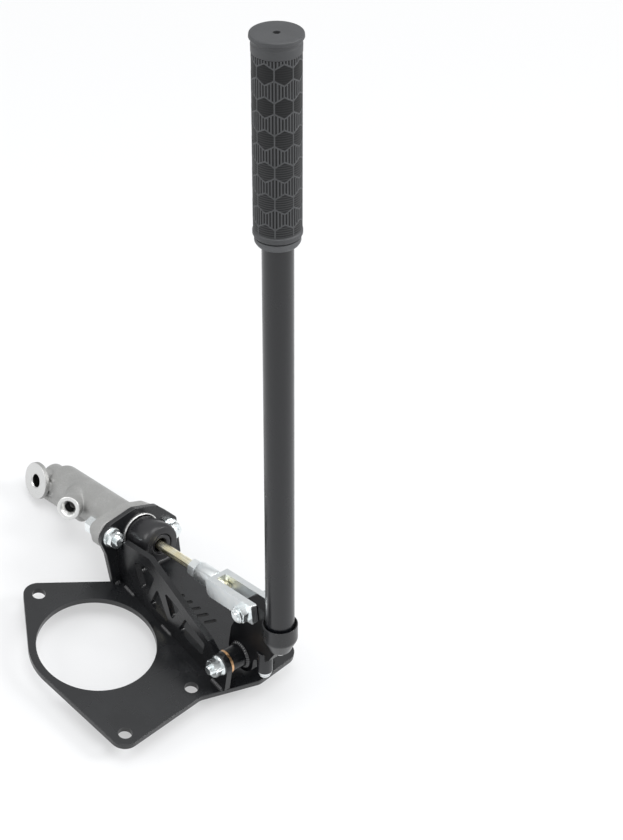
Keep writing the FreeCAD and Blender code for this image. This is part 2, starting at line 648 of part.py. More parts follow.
# Pivot tube through the arm, a flanged bush in each end

BUSH_FLANGE_T = 2.0
BUSH_FLANGE_R = 9.8
BUSH_LENGTH = 12.0
EAR_CLEAR = 0.1
half_span = (TRUSS_OUTER_Y - TRUSS_T) - MID_Y
tube_half = half_span - EAR_CLEAR - BUSH_FLANGE_T
pivot_tube = tube(V(PIVOT_X, MID_Y - tube_half, PIVOT_Z), Y, PIVOT_TUBE_R, PIVOT_TUBE_IN_R, 2 * tube_half)
save("pivot_tube", pivot_tube)
bushes = []
for sign in (1, -1):
    inward = Y * -sign
    face = V(PIVOT_X, MID_Y + sign * (tube_half + BUSH_FLANGE_T), PIVOT_Z)
    bush_flange = rod(face, inward, BUSH_FLANGE_R, BUSH_FLANGE_T)
    bush = join([bush_flange, rod(face, inward, PIVOT_TUBE_IN_R, BUSH_LENGTH)])
    bushes.append(bush.cut(rod(at(face, (inward, -1)), inward, PIVOT_BOLT_R + RUN_GAP, BUSH_LENGTH + 2)))
save("pivot_bushes", Part.makeCompound(bushes))

# Weld rings where the pivot tube and the sleeve meet the arm

RING_LEG = 1.5
ring_welds = []
for sign in (1, -1):
    outward = Y * sign
    seat = V(PIVOT_X, MID_Y + sign * ARM_T / 2, PIVOT_Z)
    ring = cone(seat, outward, PIVOT_TUBE_R + RING_LEG, PIVOT_TUBE_R + 0.2, RING_LEG)
    ring_welds.append(ring.cut(rod(at(seat, (outward, -1)), outward, PIVOT_TUBE_R, RING_LEG + 2)))
save("pivot_tube_welds", Part.makeCompound(ring_welds))

# Stop stud on the arm's lobe, parallel to the lever

STUD_R = 6.2
STUD_X = -106.2
STUD_Z = 49.5
STUD_TOP = V(STUD_X, MID_Y, STUD_Z)
STUD_LENGTH = 24.0
STUD_SLOT = 12.5
down = LV * -1
stud = join([rod(STUD_TOP, down, STUD_R, STUD_LENGTH - 3.0),
             cone(at(STUD_TOP, (down, STUD_LENGTH - 3.0)), down, STUD_R, STUD_R - 2.0, 3.0)])
stud_slot = Part.makeBox(40, ARM_T, 60, V(STUD_TOP.x - 20, MID_Y - ARM_T / 2, STUD_TOP.z - STUD_SLOT))
stud = stud.cut(stud_slot)
save("stop_stud", stud)

# Grip: closed rubber sleeve over the tube, with a loose collar under it

GRIP_R = 16.35
GRIP_RIM_R = 16.85
CAP_R = 18.09
CAP_T = 7.4
GRIP_LENGTH = 144.7
COLLAR_GAP = 1.1
COLLAR_LENGTH = 5.7
CAP_TOP = TUBE_TOP + CAP_T
GRIP_START = CAP_TOP - GRIP_LENGTH
COLLAR_TOP = GRIP_START - COLLAR_GAP
GRIP_FOOT = COLLAR_TOP - COLLAR_LENGTH
VENT_R = 2.6
grip_profile = [
    (GRIP_START, TUBE_R, 0), (GRIP_START, 16.0, 0.8), (GRIP_START + 4.0, GRIP_RIM_R, 0.8),
    (GRIP_START + 5.5, GRIP_RIM_R, 0.5), (GRIP_START + 6.5, GRIP_R, 0.5), (CAP_TOP - 26.0, GRIP_R, 0.5),
    (CAP_TOP - 25.0, GRIP_RIM_R, 0.5), (CAP_TOP - 14.0, GRIP_RIM_R, 3.0), (CAP_TOP - 6.0, GRIP_R - 0.4, 4.0),
    (CAP_TOP - 3.4, CAP_R - 0.8, 0.6), (CAP_TOP - 2.4, CAP_R, 0.6), (CAP_TOP, CAP_R - 0.6, 1.0),
    (CAP_TOP, VENT_R, 0.3), (TUBE_TOP + 0.2, VENT_R, 0), (TUBE_TOP + 0.2, TUBE_R, 0),
]
grip = revolve(grip_profile, LEVER0, LV, LEVER_SIDE)
save("grip", grip)
collar = revolve([(GRIP_FOOT, TUBE_R, 0), (GRIP_FOOT, 14.2, 1.6), (GRIP_FOOT + 2.6, 15.8, 1.6),
                  (COLLAR_TOP, 15.8, 0.5), (COLLAR_TOP, TUBE_R, 0)], LEVER0, LV, LEVER_SIDE)
save("grip_collar", collar)

# Clevis, drawn from the pin toward the cylinder

FORK_HALF_W = 9.9
FORK_HALF_H = 8.3
SLOT_HALF = 4.7
FORK_END = 8.5
SLOT_BOTTOM = 41.5
FORK_BLOCK = 49.0
NECK_END = 70.0
NECK_R = 8.0
JAM_H = 8.0
JAM_FLATS = 13.0
ROD_IN_SLOT = 34.5
fork_corners = [
    (-FORK_END, -FORK_HALF_H, 1.5), (FORK_BLOCK - 2.6, -FORK_HALF_H, 0), (FORK_BLOCK, -FORK_HALF_H + 3.0, 0),
    (FORK_BLOCK, FORK_HALF_H - 3.0, 0), (FORK_BLOCK - 2.6, FORK_HALF_H, 0), (-FORK_END, FORK_HALF_H, 1.5),
]
# plane (AX, UP): AX x UP points to -Y
fork = prism(fork_corners, at(PIN, (Y, FORK_HALF_W)), AX, UP, 2 * FORK_HALF_W)
neck = join([rod(at(PIN, (AX, FORK_BLOCK - 1)), AX, NECK_R, NECK_END - FORK_BLOCK - 0.6),
             cone(at(PIN, (AX, NECK_END - 1.6)), AX, NECK_R, NECK_R - 1.4, 1.6)])
fork = join([fork, neck])
slot = prism([(-FORK_END - 5, -SLOT_HALF, 0), (SLOT_BOTTOM, -SLOT_HALF, 2.0), (SLOT_BOTTOM, SLOT_HALF, 2.0),
              (-FORK_END - 5, SLOT_HALF, 0)], at(PIN, (UP, -20)), AX, Y, 40)
fork = fork.cut(slot)
fork = fork.cut(rod(at(PIN, (AX, SLOT_BOTTOM - 1)), AX, ROD_R, 40))
fork = fork.cut(rod(at(PIN, (Y, -20)), Y, PIN_R, 40))
save("clevis", fork)

jam = hex_block(at(PIN, (AX, NECK_END)), AX, UP, JAM_FLATS, JAM_H, 0.8, 0.2)
jam = jam.cut(rod(at(PIN, (AX, NECK_END - 1)), AX, ROD_R, JAM_H + 2))
save("jam_nut", jam)

# Pushrod with a rounded nose in the piston's cup

rod_start = at(PIN, (AX, ROD_IN_SLOT))
rod_length = PIN_BACK + NOSE_S - ROD_IN_SLOT
pushrod = join([rod(rod_start, AX, ROD_R, rod_length), Part.makeSphere(ROD_R, on_axis(NOSE_S))])
save("pushrod", pushrod)

# Clevis bolt and lock nut

LOCK_NUT_H = 8.9
LOCK_COLLAR_H = 2.4
LOCK_COLLAR_R = 6.0
CLEVIS_BOLT_PROUD = 1.2
nut_seat = at(PIN, (Y, FORK_HALF_W))
lock_hex = hex_block(nut_seat, Y, AX, M8_FLATS, LOCK_NUT_H - LOCK_COLLAR_H, 0.7, 0.35)
lock_top = rod(nut_seat, Y, LOCK_COLLAR_R, LOCK_NUT_H)
lock_nut = join([lock_hex, eased(lock_top, 0.7)]).cut(rod(at(nut_seat, (Y, -1)), Y, PIN_R, LOCK_NUT_H + 2))
save("clevis_lock_nut", lock_nut)
head_seat = at(PIN, (Y, -FORK_HALF_W))
clevis_head = hex_block(head_seat, Y * -1, AX, M8_FLATS, HEAD_H, 0.7)
shank_len = 2 * FORK_HALF_W + LOCK_NUT_H + CLEVIS_BOLT_PROUD
clevis_shank = stud_end(at(head_seat, (Y, -0.2)), Y, PIN_R, shank_len + 0.2)
save("clevis_bolt", join([clevis_head, clevis_shank]))
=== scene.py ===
import bpy
import json
import math
from mathutils import Matrix, Vector


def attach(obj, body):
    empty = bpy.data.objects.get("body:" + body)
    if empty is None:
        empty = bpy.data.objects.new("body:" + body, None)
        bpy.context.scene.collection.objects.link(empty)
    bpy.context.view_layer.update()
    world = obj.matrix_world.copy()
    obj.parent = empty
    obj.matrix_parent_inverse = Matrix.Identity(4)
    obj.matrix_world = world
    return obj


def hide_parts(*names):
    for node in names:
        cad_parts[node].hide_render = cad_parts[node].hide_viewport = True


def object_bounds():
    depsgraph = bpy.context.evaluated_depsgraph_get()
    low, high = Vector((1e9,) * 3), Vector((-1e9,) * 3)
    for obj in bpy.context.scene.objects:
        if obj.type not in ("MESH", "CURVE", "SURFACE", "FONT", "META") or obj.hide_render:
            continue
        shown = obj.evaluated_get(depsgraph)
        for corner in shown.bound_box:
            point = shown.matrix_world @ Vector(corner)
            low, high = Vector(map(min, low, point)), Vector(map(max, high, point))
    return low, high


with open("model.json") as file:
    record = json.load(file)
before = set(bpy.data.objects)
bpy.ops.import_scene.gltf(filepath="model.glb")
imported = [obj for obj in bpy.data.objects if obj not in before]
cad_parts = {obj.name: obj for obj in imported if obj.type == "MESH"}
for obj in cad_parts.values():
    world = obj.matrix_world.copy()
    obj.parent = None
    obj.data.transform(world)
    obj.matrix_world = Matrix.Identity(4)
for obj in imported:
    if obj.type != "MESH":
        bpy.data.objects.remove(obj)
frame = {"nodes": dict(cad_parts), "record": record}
nodes = frame["nodes"]
cad_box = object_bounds()

MM = 0.001
X = Vector((1, 0, 0))
Y = Vector((0, 1, 0))
Z = Vector((0, 0, 1))

# Plate and pivot places shared with the solids, in millimetres
PLATE_TOP = 5.0
FOOT_X = 43.7
MID_Y = -79.5
TRUSS_OUT_Y = -54.5
FAR_OUT_Y = -104.5
PIVOT = Vector((-84.7, MID_Y, 27.4))

# The cylinder's line: AX runs down it, C0 is the middle of its mouth, in metres
SLOPE = math.radians(17.7)
AX = Vector((math.cos(SLOPE), 0, -math.sin(SLOPE)))
UP = Vector((math.sin(SLOPE), 0, math.cos(SLOPE)))
C0 = Vector((FOOT_X, MID_Y, PLATE_TOP)) * MM + UP * 35.1 * MM
BOLT_TURN = math.radians(17.0)
SIDE = Y * math.cos(BOLT_TURN) + UP * math.sin(BOLT_TURN)
BOSS_TILT = math.radians(34.0)
BOSS = SIDE * math.cos(BOSS_TILT) - AX * math.sin(BOSS_TILT)
SIDE_FACE = C0 + AX * 82.2 * MM + BOSS * 34.3 * MM
REAR_FACE = C0 + AX * 124.1 * MM + SIDE * 20.9 * MM

# The lever's line: LV runs up it from LEVER0 at the plate's underside, in metres
LEAN = math.radians(10.97)
SIDE_LEAN = math.radians(0.32)
LV = Vector((math.sin(LEAN), -math.sin(SIDE_LEAN), math.cos(LEAN))).normalized()
LEVER0 = Vector((-134.8, MID_Y, 0)) * MM
L_SIDE = LV.cross(X).normalized()
L_OTHER = LV.cross(L_SIDE)
STUD_TOP = Vector((-106.2, MID_Y, 49.5)) * MM
STUD_LENGTH = 24.0
STUD_END = STUD_TOP - LV * STUD_LENGTH * MM


# Material helpers

def new_material(name):
    m = bpy.data.materials.new(name)
    m.use_nodes = True
    tree = m.node_tree
    tree.nodes.clear()
    out = tree.nodes.new("ShaderNodeOutputMaterial")
    shader = tree.nodes.new("ShaderNodeBsdfPrincipled")
    tree.links.new(shader.outputs[0], out.inputs[0])
    return m, tree, shader


def node(tree, kind, **settings):
    n = tree.nodes.new(kind)
    for key, value in settings.items():
        setattr(n, key, value)
    return n


def noise(tree, vector, scale, detail, rough):
    n = node(tree, "ShaderNodeTexNoise")
    n.inputs["Scale"].default_value = scale
    n.inputs["Detail"].default_value = detail
    n.inputs["Roughness"].default_value = rough
    tree.links.new(vector, n.inputs["Vector"])
    return n.outputs["Fac"]


def ranged(tree, value, low, high, start=0.3, end=0.7):
    n = node(tree, "ShaderNodeMapRange")
    n.inputs["From Min"].default_value = start
    n.inputs["From Max"].default_value = end
    n.inputs["To Min"].default_value = low
    n.inputs["To Max"].default_value = high
    tree.links.new(value, n.inputs["Value"])
    return n.outputs["Result"]


def mixed(tree, factor, colour_a, colour_b):
    n = node(tree, "ShaderNodeMix", data_type="RGBA")
    for socket, colour in ((n.inputs[6], colour_a), (n.inputs[7], colour_b)):
        if isinstance(colour, tuple):
            socket.default_value = colour + (1.0,)
        else:
            tree.links.new(colour, socket)
    tree.links.new(factor, n.inputs[0])
    return n.outputs[2]


def bump(tree, height, distance, strength, under=None):
    n = node(tree, "ShaderNodeBump")
    n.inputs["Distance"].default_value = distance
    n.inputs["Strength"].default_value = strength
    tree.links.new(height, n.inputs["Height"])
    if under is not None:
        tree.links.new(under, n.inputs["Normal"])
    return n.outputs["Normal"]


def math_node(tree, operation, a, b=None):
    """a sum on one or two values, each a number or a node's output"""
    n = node(tree, "ShaderNodeMath", operation=operation)
    for socket, value in ((n.inputs[0], a), (n.inputs[1], b)):
        if value is None:
            continue
        if isinstance(value, float):
            socket.default_value = value
        else:
            tree.links.new(value, socket)
    return n.outputs[0]


def object_position(tree):
    return node(tree, "ShaderNodeTexCoord").outputs["Object"]


def stretched(tree, vector, axis, along, across):
    """position with its part along an axis scaled apart from the rest, for streaks"""
    dot = node(tree, "ShaderNodeVectorMath", operation="DOT_PRODUCT")
    tree.links.new(vector, dot.inputs[0])
    dot.inputs[1].default_value = axis
    part = node(tree, "ShaderNodeVectorMath", operation="SCALE")
    part.inputs[0].default_value = axis
    tree.links.new(dot.outputs["Value"], part.inputs["Scale"])
    rest = node(tree, "ShaderNodeVectorMath", operation="SUBTRACT")
    tree.links.new(vector, rest.inputs[0])
    tree.links.new(part.outputs[0], rest.inputs[1])
    wide = node(tree, "ShaderNodeVectorMath", operation="SCALE")
    wide.inputs["Scale"].default_value = across
    tree.links.new(rest.outputs[0], wide.inputs[0])
    long_part = node(tree, "ShaderNodeVectorMath", operation="SCALE")
    long_part.inputs["Scale"].default_value = along
    tree.links.new(part.outputs[0], long_part.inputs[0])
    total = node(tree, "ShaderNodeVectorMath", operation="ADD")
    tree.links.new(wide.outputs[0], total.inputs[0])
    tree.links.new(long_part.outputs[0], total.inputs[1])
    return total.outputs[0]


def along_and_off(tree, vector, centre, axis):
    """how far a place is along an axis from a centre, and how far off that axis"""
    away = node(tree, "ShaderNodeVectorMath", operation="SUBTRACT")
    tree.links.new(vector, away.inputs[0])
    away.inputs[1].default_value = centre
    dot = node(tree, "ShaderNodeVectorMath", operation="DOT_PRODUCT")
    tree.links.new(away.outputs[0], dot.inputs[0])
    dot.inputs[1].default_value = axis
    cross = node(tree, "ShaderNodeVectorMath", operation="CROSS_PRODUCT")
    tree.links.new(away.outputs[0], cross.inputs[0])
    cross.inputs[1].default_value = axis
    length = node(tree, "ShaderNodeVectorMath", operation="LENGTH")
    tree.links.new(cross.outputs[0], length.inputs[0])
    return dot.outputs["Value"], length.outputs["Value"]


def disc_mask(tree, vector, centre, axis, radius, depth):
    """1 inside a disc's radius and less than depth under its face, 0 elsewhere"""
    along, off = along_and_off(tree, vector, centre, axis)
    near_face = math_node(tree, "GREATER_THAN", along, -depth)
    inside = math_node(tree, "LESS_THAN", off, radius)
    return math_node(tree, "MULTIPLY", near_face, inside)


def turning_marks(tree, vector, centre, axis, rings):
    """fine rings round an axis, as a lathe leaves them"""
    off = along_and_off(tree, vector, centre, axis)[1]
    return math_node(tree, "SINE", math_node(tree, "MULTIPLY", off, rings))


def coated(name, colour, rough, grain_scale, grain_depth, lift, shine):
    """powder coat or satin paint: orange peel, faint dust and rubbed patches"""
    m, tree, shader = new_material(name)
    p = object_position(tree)
    blotch = noise(tree, p, 35.0, 4.0, 0.6)
    fine = noise(tree, p, grain_scale, 2.0, 0.5)
    pale = tuple(c * lift for c in colour)
    tone = mixed(tree, ranged(tree, blotch, 0.0, 1.0), colour, pale)
    tree.links.new(tone, shader.inputs["Base Color"])
    tree.links.new(ranged(tree, blotch, rough - 0.05, rough + 0.07), shader.inputs["Roughness"])
    tree.links.new(bump(tree, fine, grain_depth, 0.7), shader.inputs["Normal"])
    shader.inputs["Specular IOR Level"].default_value = shine
    return m


def plated(name, colour, rough, tint, streak_axis=None):
    """bare or plated metal: soft colour drift, fine rolled or turned streaks"""
    m, tree, shader = new_material(name)
    p = object_position(tree)
    drift = noise(tree, p, 160.0, 3.0, 0.5)
    tone = mixed(tree, ranged(tree, drift, 0.0, 1.0, 0.35, 0.65), colour, tint)
    tree.links.new(tone, shader.inputs["Base Color"])
    if streak_axis is None:
        fine = noise(tree, p, 1400.0, 3.0, 0.6)
    else:
        fine = noise(tree, stretched(tree, p, streak_axis, 60.0, 2600.0), 1.0, 3.0, 0.6)
    tree.links.new(ranged(tree, fine, rough - 0.07, rough + 0.1), shader.inputs["Roughness"])
    tree.links.new(bump(tree, fine, 0.00001, 0.5), shader.inputs["Normal"])
    shader.inputs["Metallic"].default_value = 1.0
    return m


def rubber(name, colour, rough, depth, relief=None):
    """moulded rubber; relief names a value on the mesh that is low in the pattern's floor, where
    the colour is painted darker as shade in the grooves
    """
    m, tree, shader = new_material(name)
    p = object_position(tree)
    cloud = noise(tree, p, 60.0, 4.0, 0.6)
    fine = noise(tree, p, 2200.0, 2.0, 0.6)
    pale = tuple(c * 1.25 for c in colour)
    tone = mixed(tree, ranged(tree, cloud, 0.0, 1.0), colour, pale)
    if relief is not None:
        height = node(tree, "ShaderNodeAttribute", attribute_name=relief).outputs["Fac"]
        # painted shade: the pattern's low floor between outlines and ribs is darkened to a fifth of
        # the rubber's colour
        groove_shade_tone = tuple(c * 0.2 for c in colour)
        raised = ranged(tree, height, 0.0, 1.0, 0.0, 0.9)
        tone = mixed(tree, raised, groove_shade_tone, tone)
        shine = ranged(tree, raised, 0.22, 0.55, 0.0, 1.0)
        tree.links.new(shine, shader.inputs["Specular IOR Level"])
    tree.links.new(tone, shader.inputs["Base Color"])
    tree.links.new(ranged(tree, cloud, rough - 0.05, rough + 0.06), shader.inputs["Roughness"])
    tree.links.new(bump(tree, fine, depth, 0.6), shader.inputs["Normal"])
    shader.inputs["Specular IOR Level"].default_value = 0.55
    return m


# Machined places on the casting: how far each face and hole reaches; the mouth depths are how far
# into a port it stays bright before the hole is painted dark as shade
SIDE_FACE_R = 12.0 * MM
REAR_FACE_R = 17.0 * MM
LIP_R = 30.0 * MM
SIDE_PORT_R = 6.95 * MM
REAR_PORT_R = 6.5 * MM
PORT_DEPTH = 14.5 * MM
SIDE_MOUTH_DEPTH = 4.1 * MM
REAR_MOUTH_DEPTH = 1.3 * MM


def cast_metal(name):
    """sand-cast aluminium; its port faces, front lip and port mouths are machined brighter, and the
    port holes deeper in are painted dark as shade
    """
    m, tree, shader = new_material(name)
    p = object_position(tree)
    cloud = noise(tree, p, 45.0, 4.0, 0.6)
    sand = noise(tree, p, 1300.0, 4.0, 0.65)
    body = mixed(tree, ranged(tree, cloud, 0.0, 1.0), (0.39, 0.389, 0.38), (0.51, 0.509, 0.50))
    speck = mixed(tree, ranged(tree, sand, 0.0, 1.0, 0.35, 0.6), (0.35, 0.349, 0.34), body)
    side_face = disc_mask(tree, p, SIDE_FACE, BOSS, SIDE_FACE_R, 0.4 * MM)
    rear_face = disc_mask(tree, p, REAR_FACE, SIDE, REAR_FACE_R, 0.3 * MM)
    lip = disc_mask(tree, p, C0 + AX * 0.2 * MM, -AX, LIP_R, 0.2 * MM)
    side_port = disc_mask(tree, p, SIDE_FACE, BOSS, SIDE_PORT_R, PORT_DEPTH)
    rear_port = disc_mask(tree, p, REAR_FACE, SIDE, REAR_PORT_R, PORT_DEPTH)
    side_mouth = disc_mask(tree, p, SIDE_FACE, BOSS, SIDE_FACE_R, SIDE_MOUTH_DEPTH)
    rear_mouth = disc_mask(tree, p, REAR_FACE, SIDE, REAR_FACE_R, REAR_MOUTH_DEPTH)
    ports = math_node(tree, "MAXIMUM", side_port, rear_port)
    mouths = math_node(tree, "MAXIMUM", side_mouth, rear_mouth)
    # painted shade: port holes past their bright mouths are coloured dark (0.17) for the shade deep
    # inside them
    deep_port_shade = math_node(tree, "MULTIPLY", ports, math_node(tree, "SUBTRACT", 1.0, mouths))
    machined = math_node(tree, "MAXIMUM", side_face, rear_face)
    machined = math_node(tree, "MAXIMUM", machined, lip)
    machined = math_node(tree, "MAXIMUM", machined, ports)
    faced = mixed(tree, rear_face, (0.84, 0.84, 0.825), (0.66, 0.66, 0.65))
    colour = mixed(tree, deep_port_shade, mixed(tree, machined, speck, faced), (0.17, 0.17, 0.165))
    tree.links.new(colour, shader.inputs["Base Color"])
    smoother = math_node(tree, "MULTIPLY", machined, 0.2)
    rough = math_node(tree, "SUBTRACT", ranged(tree, sand, 0.46, 0.62), smoother)
    tree.links.new(rough, shader.inputs["Roughness"])
    side_turned = turning_marks(tree, p, SIDE_FACE, BOSS, 21000.0)
    rear_turned = turning_marks(tree, p, REAR_FACE, SIDE, 16000.0)
    marks = math_node(tree, "ADD", side_turned, rear_turned)
    turned = bump(tree, math_node(tree, "MULTIPLY", marks, machined), 0.00001, 0.5)
    grit = math_node(tree, "MULTIPLY", sand, math_node(tree, "SUBTRACT", 1.0, machined))
    tree.links.new(bump(tree, grit, 0.00022, 0.8, turned), shader.inputs["Normal"])
    metal = math_node(tree, "ADD", math_node(tree, "MULTIPLY", ports, 0.25), 0.75)
    tree.links.new(metal, shader.inputs["Metallic"])
    return m


TIP_R = 20.0 * MM
TIP_DEPTH = 5.2 * MM


def bright_tip(name, coat):
    """a copy of a coat, with the stud's chamfered end in bare turned metal"""
    m = coat.copy()
    m.name = name
    tree = m.node_tree
    shader = next(n for n in tree.nodes if n.type == "BSDF_PRINCIPLED")
    tip = disc_mask(tree, object_position(tree), STUD_END, -LV, TIP_R, TIP_DEPTH)
    under = shader.inputs["Base Color"].links[0].from_socket
    tree.links.new(mixed(tree, tip, under, (0.80, 0.82, 0.83)), shader.inputs["Base Color"])
    tree.links.new(tip, shader.inputs["Metallic"])
    return m


STREAK = tuple(AX)
looks = {
    "black_powder_coat": coated(
        "powder_coat", (0.0045, 0.0048, 0.0056), 0.24, 900.0, 0.00003, 1.5, 0.4),
    # a lighter, glossier copy of the powder coat: painted light for the plates and sleeve
    "lighter_lit_coat": coated("lighter_lit_coat", (0.0065, 0.007, 0.008), 0.26, 900.0, 0.00004, 1.5, 0.6),
    # a darker copy of the powder coat: painted shade for the arm and far ear
    "darker_shaded_coat": coated("darker_shaded_coat", (0.0035, 0.0037, 0.0043), 0.34, 900.0, 0.00004, 1.5, 0.28),
    "black_satin_tube": coated(
        "satin_tube", (0.005, 0.0055, 0.007), 0.24, 1600.0, 0.00003, 1.4, 0.6),
    "weld_black": coated("weld_coat", (0.006, 0.006, 0.007), 0.14, 700.0, 0.00006, 1.5, 0.8),
    "grip_rubber": rubber("grip_rubber_look", (0.075, 0.077, 0.08), 0.62, 0.00005),
    "grip_pattern": rubber("grip_pattern_look", (0.05, 0.0515, 0.054), 0.56, 0.00005, "relief"),
    "boot_rubber": rubber("boot_rubber_look", (0.014, 0.014, 0.0155), 0.3, 0.00002),
    "seal_rubber": rubber("seal_rubber_look", (0.02, 0.02, 0.02), 0.5, 0.00003),
    "cast_aluminium": cast_metal("cast_aluminium_look"),
    "machined_aluminium": plated(
        "machined_aluminium_look", (0.75, 0.75, 0.76), 0.3, (0.68, 0.68, 0.7), STREAK),
    "zinc": plated("zinc_look", (0.84, 0.89, 0.90), 0.2, (0.92, 0.95, 0.95)),
    "zinc_satin": plated("zinc_satin_look", (0.86, 0.90, 0.91), 0.36, (0.93, 0.955, 0.955)),
    "yellow_zinc": plated("yellow_zinc_look", (0.93, 0.85, 0.58), 0.26, (0.98, 0.95, 0.78), STREAK),
    "bronze": plated("bronze_look", (0.66, 0.36, 0.17), 0.3, (0.75, 0.47, 0.26)),
    "spring_steel": plated("spring_steel_look", (0.33, 0.33, 0.34), 0.3, (0.42, 0.42, 0.43)),
}
looks["stud_coat"] = bright_tip("stud_coat", looks["black_satin_tube"])

# Nodes whose look differs a little from the rest of their material slot: the base plate, flange
# plate and sleeve take a lighter, glossier copy of the powder coat as painted light, the arm and
# far ear a darker copy as painted shade, and the clevis and jam nut a rougher zinc
own_looks = {
    "base_plate": "lighter_lit_coat",
    "cylinder_flange_plate": "lighter_lit_coat",
    "lever_sleeve": "lighter_lit_coat",
    "lever_arm": "darker_shaded_coat",
    "far_pivot_ear": "darker_shaded_coat",
    "clevis": "zinc_satin",
    "jam_nut": "zinc_satin",
}
for entry in frame["record"]["subparts"]:
    mesh = nodes[entry["node"]].data
    mesh.materials.clear()
    mesh.materials.append(looks[own_looks.get(entry["node"], entry["material_slot"])])


# Softened edges on the cut plates, the clevis and the casting

def join_seams(obj):
    """closes the seams between the faces of a solid's mesh"""
    weld = obj.modifiers.new("weld", "WELD")
    weld.merge_threshold = 0.002 * MM


def soften(obj, width, segments=2):
    """takes the edge off the sharp corners"""
    join_seams(obj)
    bevel = obj.modifiers.new("bevel", "BEVEL")
    bevel.width = width
    bevel.segments = segments
    bevel.limit_method = "ANGLE"
    bevel.angle_limit = math.radians(50)
    bevel.use_clamp_overlap = True
    bevel.harden_normals = True


for name in ("far_pivot_ear", "lever_arm"):
    soften(nodes[name], 0.45 * MM)
for name in ("side_truss_plate", "cylinder_flange_plate"):
    soften(nodes[name], 0.8 * MM, 3)
soften(nodes["clevis"], 0.35 * MM)


def cast_surface(obj, voxel, passes):
    """rounds the casting's inner corners the way sand leaves them"""
    join_seams(obj)
    remesh = obj.modifiers.new("remesh", "REMESH")
    remesh.mode = "VOXEL"
    remesh.voxel_size = voxel
    remesh.use_smooth_shade = True
    smooth = obj.modifiers.new("smooth", "SMOOTH")
    smooth.factor = 0.5
    smooth.iterations = passes


cast_surface(nodes["cylinder_casting"], 0.55 * MM, 4)


# Mesh helpers

CORNER_STEPS = 4


def soft_step(low, high, value):
    t = min(max((value - low) / (high - low), 0.0), 1.0)
    return t * t * (3 - 2 * t)


def mesh_object(name, points, faces, look, smooth=True):
    mesh = bpy.data.meshes.new(name)
    mesh.from_pydata([tuple(p) for p in points], [], faces)
    mesh.validate()
    mesh.polygons.foreach_set("use_smooth", [smooth] * len(mesh.polygons))
    mesh.materials.append(look)
    obj = bpy.data.objects.new(name, mesh)
    bpy.context.scene.collection.objects.link(obj)
    return obj


def rounded(profile):
    """closed (along, radius, fillet) profile with its corners turned into arcs"""
    points = []
    count = len(profile)
    for i in range(count):
        before = Vector(profile[i - 1][:2])
        here = Vector(profile[i][:2])
        after = Vector(profile[(i + 1) % count][:2])
        fillet = profile[i][2]
        if fillet <= 0:
            points.append(here)
            continue
        to_before = (before - here).normalized()
        to_after = (after - here).normalized()
        half = to_before.angle(to_after) / 2
        reach = fillet / math.tan(half)
        middle = (to_before + to_after).normalized()
        centre = here + middle * (fillet / math.sin(half))
        start = here + to_before * reach - centre
        end = here + to_after * reach - centre
        for k in range(CORNER_STEPS + 1):
            blend = start.lerp(end, k / CORNER_STEPS).normalized() * fillet
            points.append(centre + blend)
    return points


def ring_points(centre, side, other, radius, columns):
    """points of a round ring; its radius is in millimetres"""
    points = []
    for j in range(columns):
        turn = 2 * math.pi * j / columns
        out = side * math.cos(turn) + other * math.sin(turn)
        points.append(centre + out * radius * MM)
    return points


def ring_faces(ring_count, columns):
    """quads of a closed loop of rings, each ring closed on itself"""
    faces = []
    for i in range(ring_count):
        a = i * columns
        b = ((i + 1) % ring_count) * columns
        for j in range(columns):
            k = (j + 1) % columns
            faces.append((a + j, a + k, b + k, b + j))
    return faces


# Rubber grip with its honeycomb: raised outlines, ribs down every second row

TUBE_TOP = 566.0
CAP_TOP = TUBE_TOP + 7.4
GRIP_START = CAP_TOP - 144.7
TUBE_R = 11.03
CELL_R = 16.15
BAND_R = 16.75
ZONE_START = 434.3
ZONE_END = 560.4
CELLS_AROUND = 8
ROW_PITCH = 11.46
PLAIN_ROW_S = 436.4
PLAIN_TURN = math.radians(22.5)
OUTLINE_HALF = 0.52
OUTLINE_H = 0.42
RIB_H = 0.4
RIBS_PER_CELL = 6
FINE_RIB_PITCH = 1.62
FINE_RIB_H = 0.05
FINE_RIB_MORE = 0.16
FADE_START = 455.0
FADE_END = 545.0
GRIP_COLUMNS = 352
ZONE_STEP = 0.34
# relief value of the unpatterned rings, which also sets how little painted groove shade they get
PLAIN_RELIEF = 0.8


def honeycomb(turn, s):
    """height of the pattern over the cell floor at an angle and a distance along the lever"""
    cell_w = 2 * math.pi * CELL_R / CELLS_AROUND
    squeeze = cell_w * math.sqrt(3) / 2 / ROW_PITCH
    u = (turn - PLAIN_TURN) * CELL_R
    row = (s - PLAIN_ROW_S) / ROW_PITCH
    best = None
    for r in (math.floor(row), math.floor(row) + 1):
        shift = 0.5 * cell_w if r % 2 else 0.0
        du = (u - shift) - cell_w * round((u - shift) / cell_w)
        dv = (row - r) * ROW_PITCH * squeeze
        away = max(abs(du), abs(du) / 2 + abs(dv) * math.sqrt(3) / 2)
        if best is None or away < best[0]:
            best = (away, du, dv, r)
    away, du, dv, r = best
    edge = cell_w / 2 - away
    outline = 1.0 - soft_step(OUTLINE_HALF * 0.55, OUTLINE_HALF * 1.25, edge)
    if r % 2:
        wave = 0.5 + 0.5 * math.cos(2 * math.pi * du * RIBS_PER_CELL / cell_w)
        inner = RIB_H * soft_step(0.2, 0.75, wave)
    else:
        low_down = 1.0 - soft_step(FADE_START, FADE_END, s)
        wave = 0.5 + 0.5 * math.cos(2 * math.pi * dv / FINE_RIB_PITCH)
        inner = (FINE_RIB_H + FINE_RIB_MORE * low_down) * wave
    return max(outline * OUTLINE_H, inner)


